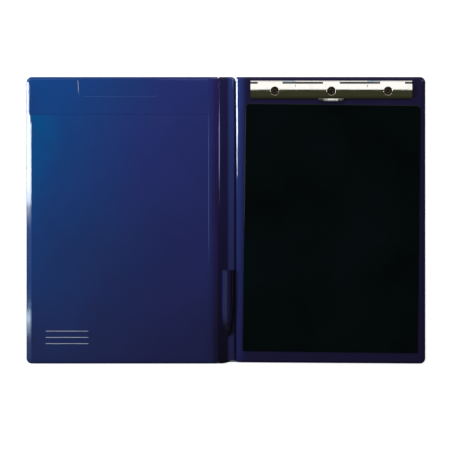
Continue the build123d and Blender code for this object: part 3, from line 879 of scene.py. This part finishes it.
def strip_outline(inset):
    """The strip's outline, moved in by the given width."""
    left, right = strip_low.x + inset, strip_high.x - inset
    bottom, top = strip_low.y + inset, strip_high.y - inset
    radius = strip_corner - inset
    lip = notch_lip - inset / 2
    cut_left, cut_right, cut_low = notch_left - inset, notch_right + inset, notch_low - inset
    inner = notch_radius + inset
    wall_low, wall_high, wall_parts = cut_low + inner, top - lip, 6
    points = arc((left + radius, bottom + radius), radius, 180, 270)
    points += arc((right - radius, bottom + radius), radius, 270, 360)
    points += arc((right - radius, top - radius), radius, 0, 90)
    points += arc((cut_right + lip, wall_high), lip, 90, 180, 5)
    points += arc((cut_right - inner, wall_low), inner, 0, -90)
    points += arc((cut_left + inner, wall_low), inner, 270, 180)
    for k in range(1, wall_parts):
        points.append((cut_left, wall_low + (wall_high - wall_low) * k / wall_parts))
    points += arc((cut_left - lip, wall_high), lip, 0, 90, 5)
    points += arc((left + radius, top - radius), radius, 90, 180)
    return points


def header():
    """The strip lies nearly flat, with a curled bead along the notch's left side only."""
    # Each level's inset from the outline, height, and height that the bead adds
    levels = [(0, 0, 0), (0, 0.2, 0.22), (0.04, 0.25, 0.27), (0.3, 0.27, 0.3), (0.65, 0.29, 0.18)]
    levels += [(1.1, 0.3, 0.015), (1.5, 0.3, 0)]
    bead_reach, below_notch, pressed_by = 5.5, 3, 0.75
    press_begins = (notch_left + 12, notch_left + 60, 5)
    press_ends = (notch_right + 6, notch_right + 40, 5)
    rings = []
    for inset, height, bead in levels:
        ring = []
        for x, y in strip_outline(inset):
            beside = 1 if y > notch_low - below_notch else 0
            near = bell(x, notch_left, bead_reach) * beside
            pressed = float(soft_ramp(x, *press_begins)) - float(soft_ramp(x, *press_ends))
            height_here = height * (1 - pressed_by * beside * pressed)
            ring.append((x, y, top_z + height_here + bead * near))
        rings.append(ring)
    made = stacked("header_sheet", rings, cover_blue, crease_angle=50)
    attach(made, "front")
    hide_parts("header_strip")


header()


def plate():
    """Writing plate, stuck on a little out of square."""
    width, height, skew = 210.0, 297.0, 0.7
    head_corner, foot_corner = 5.0, 1.0
    low, high = box_mm("writing_plate")
    middle = (low + high) / 2
    cos, sin = math.cos(math.radians(-skew)), math.sin(math.radians(-skew))
    # Each level's inset from the outline and its height
    levels = [(0.15, low.z), (0, low.z + 0.2), (0, high.z - 0.3), (0.1, high.z - 0.1)]
    levels += [(0.35, high.z), (0.9, high.z)]
    rings = []
    for inset, level in levels:
        half_x, half_y = width / 2 - inset, height / 2 - inset
        head, foot = head_corner - inset, foot_corner - inset
        points = arc((-half_x + foot, -half_y + foot), foot, 180, 270)
        points += arc((half_x - foot, -half_y + foot), foot, 270, 360)
        points += arc((half_x - head, half_y - head), head, 0, 90)
        points += arc((-half_x + head, half_y - head), head, 90, 180)
        turned = [(x * cos - y * sin, x * sin + y * cos) for x, y in points]
        rings.append([(middle.x + x, middle.y + y, level) for x, y in turned])
    made = stacked("plate_sheet", rings, plate_black, crease_angle=50)
    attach(made, "back")
    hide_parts("writing_plate")


plate()


def sleeve():
    """Pen sleeve: a half tube of foil on the spine, gathered to a blunt tip."""
    rows, columns = 90, 61
    tip_overlap, lift = 2, 0.04
    left_width, right_width, height = 7.9, 6.8, 6.4
    left_flange, right_flange = -1.12, 1.04
    straight_share, taper_share, least_taper, least_rise = 0.42, 0.585, 0.012, 0.2
    rise_power, arch_powers = 0.8, (2.3, 0.72)
    mouth_x, lean, lean_begins = 3.6, 1.0, (0.3, 1.0, 0.1)
    fold_rise, folds_begin, folds_across, folds_along = 0.16, (0.72, 0.98, 0.08), 9, 4
    hem_rise, hem_ends = 0.35, (0.8, 2.2, 0.4)
    length = sleeve_high.y - sleeve_low.y + tip_overlap
    t = np.linspace(0, 1, rows)[:, None]
    s = np.linspace(left_flange, right_flange, columns)[None, :]
    past_straight = np.clip(t - straight_share, 0, 1) / taper_share
    taper = np.sqrt(np.clip(1 - past_straight**2, least_taper, 1))
    rise = height * np.clip(taper, least_rise, 1) ** rise_power
    middle = mouth_x - lean * soft_ramp(t, *lean_begins)
    arch = (1 - np.clip(np.abs(s), 0, 1) ** arch_powers[0]) ** arch_powers[1]
    folds = np.sin(folds_across * s + folds_along * t)
    fold = 1 + fold_rise * folds * soft_ramp(t, *folds_begin)
    hem = hem_rise * (1 - soft_ramp(t * length, *hem_ends))
    y = sleeve_high.y - t * length + 0 * s
    base = top_z + lift

    def face(inset, hem_height, least_height):
        """The sleeve's outer face, or with an inset of one foil its inner face."""
        half = np.where(s < 0, left_width * taper, right_width * taper) - inset
        z = base + foil + (rise - inset + hem_height) * arch * fold - inset
        return np.stack([middle + s * half, y, np.maximum(z, least_height)], -1)

    outer, inner = face(0, hem, base + foil), face(foil, 0, base)
    made = closed_sheet("sleeve_sheet", outer, inner, sleeve_blue, crease_angle=60)
    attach(made, "spine")
    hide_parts("pen_sleeve")


sleeve()


def access_rims():
    """A rolled rim round each of the bar's access holes, which follows the bar's bent face."""
    rim_radius, tube_radius, steps, sides = 5.2, 0.34, 72, 12
    probe_beyond, probe_z, sunk = 0.3, 0.05, 0.12
    all_smooth = 180
    bar = frame["nodes"]["clamp_bar"]
    bar_top = box_mm("clamp_bar")[1].z
    upward, downward_ray = Vector((0, 0, 1)), Vector((0, 0, -1))
    for index, (centre_x, middle_y) in enumerate(rivet_places()):
        points, faces = [], []
        for k in range(steps):
            angle = 2 * math.pi * k / steps
            out = Vector((math.cos(angle), math.sin(angle), 0))
            above = Vector((centre_x, middle_y, 0)) + out * (rim_radius + probe_beyond)
            probe = Vector((above.x * MM, above.y * MM, probe_z))
            found, point, _, _ = bar.ray_cast(bar.matrix_world.inverted() @ probe, downward_ray)
            height = (bar.matrix_world @ point).z / MM if found else bar_top
            centre = Vector((centre_x, middle_y, height - sunk)) + out * rim_radius
            here, there = k * sides, (k + 1) % steps * sides
            for j in range(sides):
                turn = 2 * math.pi * j / sides
                outward, rise = tube_radius * math.cos(turn), tube_radius * math.sin(turn)
                points.append(tuple(centre + out * outward + upward * rise))
                following = (j + 1) % sides
                faces.append((here + j, there + j, there + following, here + following))
        made = new_object(f"access_rim_{index + 1}", points, faces, rim_steel, all_smooth)
        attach(made, "clamp")


access_rims()

# Materials of the CAD nodes that stay as they are
for node, material in (
    ("front_board", grey_board),
    ("back_board", grey_board),
    ("plate_tape", tape_white),
    ("clamp_bar", clamp_steel),
    ("clamp_base", base_zinc),
    ("clamp_rivets", rivet_steel),
    ("rivet_washers", rivet_steel),
    ("hinge_rod", rod_steel),
    ("spring_left", spring_steel),
    ("spring_right", spring_steel),
):
    mesh = frame["nodes"][node].data
    mesh.materials.clear()
    mesh.materials.append(material)


# Floor, lights and camera
def floor_material():
    """Pale floor that looks white to the camera and in reflections, and keeps the shadow."""
    glow_strength, paper_grey = 0.72, (0.85, 0.85, 0.85, 1)
    material = bpy.data.materials.new("floor_white")
    material.use_nodes = True
    nodes = Tree(material.node_tree)
    nodes.tree.nodes.clear()
    rays = nodes.add("LightPath", {}).outputs
    seen = nodes.math("MAXIMUM", rays["Is Camera Ray"], rays["Is Glossy Ray"])
    seen = nodes.math("MAXIMUM", seen, rays["Is Transmission Ray"])
    glow = nodes.add("Emission", {"Strength": nodes.times(seen, glow_strength)})
    paper = nodes.add("BsdfDiffuse", {"Color": paper_grey})
    both = nodes.add("AddShader", {0: glow.outputs[0], 1: paper.outputs[0]})
    nodes.add("OutputMaterial", {"Surface": both.outputs[0]})
    return material


def floor():
    """A wide floor just under the folder."""
    half, z = 30.0, -0.0002
    mesh = bpy.data.meshes.new("floor")
    corners = [(-half, -half, z), (half, -half, z), (half, half, z), (-half, half, z)]
    mesh.from_pydata(corners, [], [(0, 1, 2, 3)])
    made = bpy.data.objects.new("floor", mesh)
    bpy.context.scene.collection.objects.link(made)
    mesh.materials.append(floor_material())


def area_light(name, place, target, size, radiance, colour=(1, 1, 1)):
    """A soft box of the given size in metres and radiance, aimed at a point."""
    data = bpy.data.lights.new(name, "AREA")
    data.shape = "RECTANGLE"
    data.size, data.size_y = size
    data.energy = radiance * math.pi * size[0] * size[1]
    data.color = colour
    made = bpy.data.objects.new(name, data)
    bpy.context.scene.collection.objects.link(made)
    made.location = place
    made.rotation_mode = "QUATERNION"
    made.rotation_quaternion = (Vector(target) - Vector(place)).to_track_quat("-Z", "Y")
    return made


def world():
    """A dim studio with a pale horizon."""
    horizon_white = (1.0, 1.0, 1.0)
    low_tone, overhead_tone = (0.012, 0.013, 0.008), (0.048, 0.050, 0.026)
    made = bpy.data.worlds.new("studio")
    bpy.context.scene.world = made
    made.use_nodes = True
    nodes = Tree(made.node_tree)
    place = nodes.add("TexCoord", {}).outputs["Generated"]
    height = nodes.add("SeparateXYZ", {0: place}).outputs["Z"]
    above_horizon = nodes.map_range(height, low=0.01, high=0.03)
    overhead = nodes.map_range(height, low=0.2, high=0.75, smooth=False)
    dome = nodes.mix(overhead, low_tone, overhead_tone)
    sky = nodes.mix(above_horizon, horizon_white, dome)
    nodes.link(sky, nodes.tree.nodes["Background"].inputs["Color"])


floor()
world()

# The key box shows in the left edge and in the folds, with a dim blue glow round it
area_light(
    "key_box",
    place=(-0.95, 0.170, 0.85),
    target=(-0.1, 0.12, 0),
    size=(0.265, 0.31),
    radiance=26,
    colour=(0.88, 0.95, 1.0),
)
area_light(
    "key_surround",
    place=(-1.05, -0.02, 0.90),
    target=(0, 0, 0),
    size=(1.0, 0.9),
    radiance=0.6,
    colour=(0.3, 0.55, 1.0),
)
# A narrow beam makes the glint low on the left edge
low_box = area_light(
    "low_box",
    place=(-0.90, -0.180, 0.85),
    target=(-0.237, -0.127, 0),
    size=(0.028, 0.22),
    radiance=0.105,
    colour=(0.66, 0.86, 1.0),
)
low_box.data.spread = math.radians(14)
# The panel behind the head shows in the clamp
area_light(
    "head_panel",
    place=(0, 1.037, 1.21),
    target=(0, 0.155, 0),
    size=(3.0, 1.5),
    radiance=1.3,
)

# The camera looks straight down
camera_x, camera_y, camera_height, cover_z = -0.00101, -0.0057, 2.0, 0.003
field_width = 0.5400
camera_data = bpy.data.cameras.new("camera")
camera = bpy.data.objects.new("camera", camera_data)
bpy.context.scene.collection.objects.link(camera)
bpy.context.scene.camera = camera
camera.location = (camera_x, camera_y, camera_height + cover_z)
camera_data.lens = camera_data.sensor_width * camera_height / field_width
camera_data.clip_end = 100

view_settings = bpy.context.scene.view_settings
view_settings.view_transform = "Standard"
